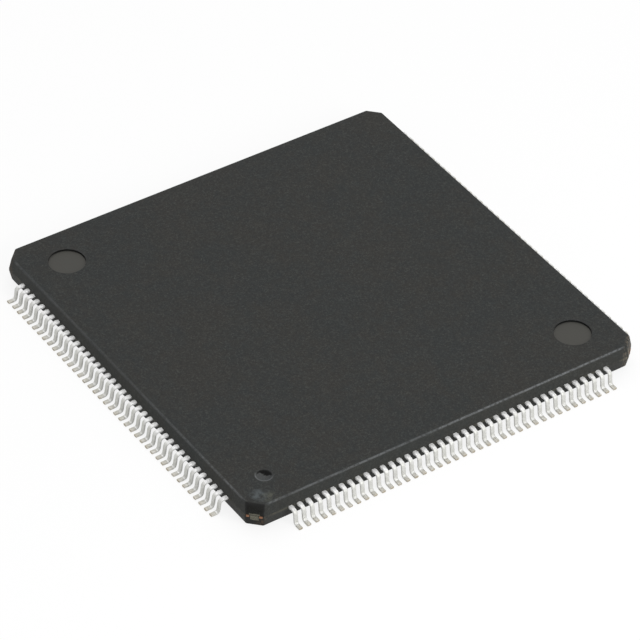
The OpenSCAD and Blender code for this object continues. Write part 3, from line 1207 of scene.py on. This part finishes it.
@dataclass
class GateScar:
    """Broken resin on the corner next to terminal 1: the snapped gate, and the fill between the bars."""

    package: Package
    angle: float = math.radians(225)
    gate_half: float = 0.425
    gate_top_gap: float = 0.11
    fill_half: float = 0.25
    fill_low: float = 0.48
    proud: float = 0.04
    fill_proud: float = 0.018
    root: float = 0.12
    spacing: float = 0.014
    fade_width: float = 0.05
    tuck: float = 0.01
    wavelengths: tuple[float, float] = (0.05, 0.5)
    waves: int = 14

    def rough_block(self, half: float, low: float, high: float, proud: float, seed: int) -> np.ndarray:
        """Works out the rough face of a block that stands out of the corner cut.

        The face follows the drafted wall, and stands out of it by the relief, which dies away
        towards the block's border.

        Args:
            half: Half the block's width.
            low: Height of its lower edge.
            high: Height of its upper edge.
            proud: How far its highest crest stands out.
            seed: Seed of its relief.

        Returns:
            Points by row, place along the row, and axis; the rows go down and the points to the left
            as seen from outside.
        """
        package = self.package
        columns = int(2 * half / self.spacing)
        rows = int((high - low) / self.spacing)
        across, heights = np.meshgrid(np.linspace(-half, half, columns), np.linspace(high, low, rows))
        relief = chipped(np.stack([across, heights], -1), self.wavelengths, self.waves, seed)
        border = np.minimum(half - np.abs(across), np.minimum(high - heights, heights - low))
        fade = np.clip(border / self.fade_width, 0, 1)
        away = np.maximum(heights - package.sheet_top, package.sheet_low - heights)
        wall = package.across_corners / 2 - np.maximum(away, 0) * math.tan(package.draft)
        out = wall + np.minimum(proud, (relief * 1.6 - 0.25) * proud) * fade - self.tuck * (1 - fade)
        direction = np.array([math.cos(self.angle), math.sin(self.angle)])
        sideways = np.array([-direction[1], direction[0]])
        plan = out[..., None] * direction + across[..., None] * sideways
        return np.concatenate([plan, heights[..., None]], -1)

    def add_block(self, shell: Shell, face: np.ndarray) -> None:
        """Closes a rough face with a flat back inside the body.

        Args:
            shell: The scar's shell.
            face: Points of the face.
        """
        rows = shell.add(face)
        inward = -np.array([math.cos(self.angle), math.sin(self.angle), 0.0])
        border = np.concatenate([face[0], face[1:, -1], face[-1, -2::-1], face[-2:0:-1, 0]])
        numbers = np.concatenate([rows[0], rows[1:, -1], rows[-1, -2::-1], rows[-2:0:-1, 0]])
        back = shell.add(border + inward * self.root)
        shell.bridge(rows, closed=False)
        shell.bridge(np.stack([back, numbers]))
        shell.close(back[None, :])

    def build(self) -> None:
        """Builds both blocks as one piece and puts it in place of the body's own."""
        package, shell = self.package, Shell()
        gate = self.rough_block(
            self.gate_half, package.sheet_top - self.tuck, package.top - self.gate_top_gap, self.proud, SEED)
        fill = self.rough_block(
            self.fill_half, self.fill_low, package.sheet_top + self.tuck, self.fill_proud, SEED + 1)
        self.add_block(shell, gate)
        self.add_block(shell, fill)
        mount(shell.build("gate_scar", BrokenResin(package).build()), "resin", "body")


# ---------------------------------------------------------------- leads


@dataclass
class LeadRow:
    """Gull-wing leads: flat fingers inside the body, and shoulder, leg and foot outside."""

    package: Package
    pitch: float = 0.5
    lead_width: float = 0.24
    foot_flat: float = 0.3
    bend_radius: float = 0.12
    leg_lean: float = math.radians(7)
    dam_start: float = 0.06
    dam_width: float = 0.12
    dam_stub: float = 0.02
    finger_width: float = 0.1
    anchor: float = 1.0
    tip_ring: float = 6.0
    tip_corner_gap: float = 1.125
    soften: float = 0.034
    bend_steps: int = 4
    sway: float = 0.011
    short: float = 0.015
    toe_share: float = 0.95
    end_tone: float = 0.35

    @property
    def toe_cut(self) -> float:
        """How far the toe's last ring is drawn in."""
        return self.soften * 0.6

    def side_view(self) -> tuple[np.ndarray, np.ndarray, np.ndarray, np.ndarray]:
        """Works out a lead's middle line, from its bonding tip to its toe.

        Two arcs of one radius turn opposite ways, joined by the straight leg; the centre of the
        first lies under the shoulder's end and that of the second over the heel.

        Returns:
            Points of the line, outwards and up; the upward normal at each; half the width at each;
            and half the thickness at each.
        """
        package = self.package
        middle = self.bend_radius + package.sheet / 2
        turn = math.pi / 2 - self.leg_lean
        drop = package.sheet_low - 2 * middle * (1 - math.cos(turn))
        heel = package.toe - self.foot_flat
        shoulder = heel - 2 * middle * math.sin(turn) - drop / math.tan(turn)
        wall = package.width / 2
        level = package.sheet_low + package.sheet / 2
        dam = wall + self.dam_start
        edge = self.dam_stub
        flats = np.array([
            self.tip_ring, wall - self.anchor, dam - edge / 2, dam, dam + self.dam_width,
            dam + self.dam_width + edge / 2])
        flat_points = np.stack([flats, np.full(len(flats), level)], 1)
        flat_normals = np.tile([0.0, 1.0], (len(flats), 1))

        first = np.linspace(math.pi / 2, self.leg_lean, self.bend_steps + 1)
        first_normals = np.stack([np.cos(first), np.sin(first)], 1)
        first_points = [shoulder, package.sheet_low - self.bend_radius] + middle * first_normals
        second = first[::-1]
        second_normals = np.stack([np.cos(second), np.sin(second)], 1)
        second_points = [heel, self.bend_radius + package.sheet] - middle * second_normals
        toe_points = np.array([
            [package.toe - self.toe_cut, package.sheet / 2], [package.toe, package.sheet / 2]])
        toe_normals = np.tile([0.0, 1.0], (2, 1))

        points = np.concatenate([flat_points, first_points, second_points, toe_points])
        normals = np.concatenate([flat_normals, first_normals, second_normals, toe_normals])
        half_width = np.full(len(points), self.lead_width / 2)
        half_width[3:5] += self.dam_stub
        half_width[-1] -= self.toe_cut
        half_sheet = np.full(len(points), package.sheet / 2)
        half_sheet[-1] -= self.toe_cut
        return points, normals, half_width, half_sheet

    def bank(self, number: int) -> np.ndarray:
        """Numbers of the leads in a bank, counted along the side from 0."""
        share = self.package.leads_per_side / self.package.banks_per_side
        return np.arange(math.floor((number - 1) * share), math.floor(number * share))

    def build_bank(self, side: Side, number: int, material: bpy.types.Material) -> None:
        """Sweeps a softened rectangle along the middle line of each lead in a bank.

        Args:
            side: The side of the package.
            number: The bank's number, from 1.
            material: The plating.
        """
        package = self.package
        points, normals, half_width, half_sheet = self.side_view()
        leads = self.bank(number)
        draws = np.random.default_rng(SEED + side.value + number)
        middle = leads - (package.leads_per_side - 1) / 2
        lead_x = middle * self.pitch
        tip_pitch = 2 * (self.tip_ring - self.tip_corner_gap) / (package.leads_per_side - 1)
        fan_run = package.width / 2 - self.anchor - self.tip_ring
        slant = np.hypot(lead_x - middle * tip_pitch, fan_run) / fan_run

        out = (points[:, 0] - package.width / 2) / (package.toe - package.width / 2)
        sway = draws.uniform(-self.sway, self.sway, len(leads))[:, None] * np.clip(out, 0, 1) ** 2
        short = draws.uniform(0, self.short, len(leads))[:, None] * (out > self.toe_share)
        centre_x = lead_x[:, None] + sway
        centre_x[:, 0] = middle * tip_pitch
        widths = np.tile(half_width, (len(leads), 1))
        widths[:, 0] = self.finger_width / 2 * slant
        centre_out = points[:, 0] - short

        corner = self.soften
        across = np.repeat([1, -1], 4)
        up = np.roll(across, -2)
        cut_across = np.tile([1, 0, 0, 1], 2)
        cut_up = 1 - cut_across
        side_x = centre_x[..., None] + across * (widths[..., None] - corner * cut_across)
        lift = up * (half_sheet[:, None] - corner * cut_up)
        side_out = centre_out[..., None] + lift * normals[:, :1]
        side_z = np.broadcast_to(points[:, 1:] + lift * normals[:, 1:], side_x.shape)
        turn = math.radians(side.value)
        x = side_x * math.cos(turn) + side_out * math.sin(turn)
        y = side_x * math.sin(turn) - side_out * math.cos(turn)
        grid = np.stack([x, y, side_z], -1)

        shell = Shell()
        rows = shell.add(grid)
        shell.bridge(rows)
        shell.close(rows[:, 0])
        shell.close(rows[:, -1], flip=True)
        end = np.zeros(len(points))
        end[-2:] = [self.end_tone, 1.0]
        carried = {
            "along": np.broadcast_to(np.clip(out, 0, 1)[:, None], side_x.shape),
            "end": np.broadcast_to(end[:, None], side_x.shape),
            "tint": np.broadcast_to(draws.uniform(0, 1, len(leads))[:, None, None], side_x.shape),
        }
        node = f"{side.label}_leads_{number}"
        mount(shell.build(f"{node}_plated", material, carried), "lead_tin", node)

    def build(self) -> None:
        """Builds every bank of the four sides."""
        plating = TinPlating().build()
        for side in Side:
            for number in range(1, self.package.banks_per_side + 1):
                self.build_bank(side, number, plating)


# ---------------------------------------------------------------- what the resin hides


@dataclass
class Inside:
    """The die, its adhesive, its copper paddle, the tape and the bond wires: the frame's own nodes."""

    package: Package

    def dress(self, node: str, material: bpy.types.Material) -> None:
        """Gives a node its finish in place of its plain one."""
        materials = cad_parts[node].data.materials
        materials.clear()
        materials.append(material)
        LOG.info("%s: %s", node, material.name)

    def build(self) -> None:
        """Dresses every node that the looks keep."""
        die_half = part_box("die")[1].x / MM
        copper = Metal("lead_frame_copper", srgb("ab7d60"), srgb("7f6350"), 0.45, 0.09, (1.0, 1.0, 8.0))
        gold = Metal("bond_gold", srgb("e0b456"), srgb("cf9c3c"), 0.18, 0.3, (4.0, 4.0, 4.0))
        self.dress("die_paddle", copper.build())
        self.dress("die_attach", SilverEpoxy().build())
        self.dress("die", SiliconDie(die_half).build())
        self.dress("lead_lock_tape", TapeFilm().build())
        wire = gold.build()
        for side in Side:
            for number in range(1, self.package.banks_per_side + 1):
                self.dress(f"{side.label}_wires_{number}", wire)


# ---------------------------------------------------------------- studio


@dataclass
class Softbox:
    """A square lamp that looks at the middle of the chip."""

    name: str
    azimuth: float
    elevation: float
    distance: float
    size: float
    watts: float

    def build(self) -> None:
        """Hangs the lamp."""
        lamp = bpy.data.lights.new(self.name, "AREA")
        lamp.energy, lamp.size = self.watts, self.size
        holder = bpy.data.objects.new(self.name, lamp)
        turn, lift = math.radians(self.azimuth), math.radians(self.elevation)
        away = Vector((
            math.sin(turn) * math.cos(lift), -math.cos(turn) * math.cos(lift), math.sin(lift)))
        holder.location = away * self.distance
        holder.rotation_mode = "QUATERNION"
        holder.rotation_quaternion = away.to_track_quat("Z", "Y")
        bpy.context.scene.collection.objects.link(holder)


@dataclass
class Studio:
    """Camera, pale floor, white surroundings and soft lamps."""

    azimuth: float = math.radians(-35.257)
    elevation: float = math.radians(40.123)
    roll: float = math.radians(1.762)
    distance: float = 217.09
    target: tuple[float, float, float] = (-0.489, -0.952, 0.8)
    lens: float = 234.46
    floor_size: float = 4.0
    fill: float = 0.55
    floor_glow: float = 0.8
    glow: float = 1.05
    lamps: tuple[Softbox, ...] = (
        Softbox("front", 10, 30, 0.1, 0.05, 0.034),
        Softbox("back", 150, 60, 0.5, 0.5, 0.82),
    )

    def camera(self) -> None:
        """Sets up the camera on the line that the azimuth and elevation give, rolled about it."""
        turn, lift = self.azimuth, self.elevation
        back = Vector((math.sin(turn) * math.cos(lift), -math.cos(turn) * math.cos(lift), math.sin(lift)))
        right = Vector((math.cos(turn), math.sin(turn), 0.0))
        up = back.cross(right)
        rolled_right = right * math.cos(self.roll) + up * math.sin(self.roll)
        rolled_up = up * math.cos(self.roll) - right * math.sin(self.roll)
        lens = bpy.data.cameras.new("camera")
        lens.lens, lens.sensor_width = self.lens, 36.0
        lens.clip_start, lens.clip_end = 0.001, 10.0
        camera = bpy.data.objects.new("camera", lens)
        place = (Vector(self.target) + back * self.distance) * MM
        camera.matrix_world = Matrix.Translation(place) @ Matrix(
            (rolled_right, rolled_up, back)).transposed().to_4x4()
        bpy.context.scene.collection.objects.link(camera)
        bpy.context.scene.camera = camera

    def seen(self, graph: Graph) -> Signal:
        """1 for rays that show the background: from the camera, or by way of gloss or glass."""
        path = graph.add("LightPath").outputs
        rays = [Signal(graph, path[name]) for name in (
            "Is Camera Ray", "Is Glossy Ray", "Is Transmission Ray")]
        return (rays[0] + rays[1] + rays[2]).least(1.0)

    def surroundings(self) -> None:
        """Makes the world white where it is seen, and a softer fill where it only lights."""
        world = bpy.data.worlds.new("studio")
        world.use_nodes = True
        bpy.context.scene.world = world
        graph = Graph(world.node_tree)
        strength = self.fill + (1.0 - self.fill) * self.seen(graph)
        shader = graph.add("Background", inputs={"Color": WHITE, "Strength": strength})
        graph.output(shader.outputs[0], "OutputWorld")

    def floor(self) -> None:
        """Lays the floor, whose white glow where it is seen leaves a faint shadow."""
        material, graph = new_material("pale_floor")
        matte = graph.add("BsdfDiffuse", inputs={"Color": (0.86, 0.86, 0.86, 1.0)})
        glow = graph.add("Emission", inputs={"Color": WHITE, "Strength": self.glow})
        share = self.seen(graph) * self.floor_glow
        mixed = graph.add("MixShader", inputs={0: share, 1: matte.outputs[0], 2: glow.outputs[0]})
        graph.output(mixed.outputs[0])
        half = self.floor_size / 2
        corners = [(-half, -half, 0), (half, -half, 0), (half, half, 0), (-half, half, 0)]
        mesh = bpy.data.meshes.new("floor")
        mesh.from_pydata(corners, [], [(0, 1, 2, 3)])
        mesh.materials.append(material)
        floor = bpy.data.objects.new("floor", mesh)
        bpy.context.scene.collection.objects.link(floor)

    def build(self) -> None:
        """Sets up the whole studio."""
        bpy.context.scene.view_settings.view_transform = "Standard"
        self.camera()
        self.surroundings()
        self.floor()
        for lamp in self.lamps:
            lamp.build()


def main() -> None:
    """Builds the studio, the body, the scar and the leads, and dresses what is inside."""
    logging.basicConfig(level=logging.INFO, format="%(name)s %(message)s")
    package = Package.measured()
    Studio().build()
    Moulding(package).build()
    GateScar(package).build()
    LeadRow(package).build()
    Inside(package).build()


if __name__ == "__main__":
    main()
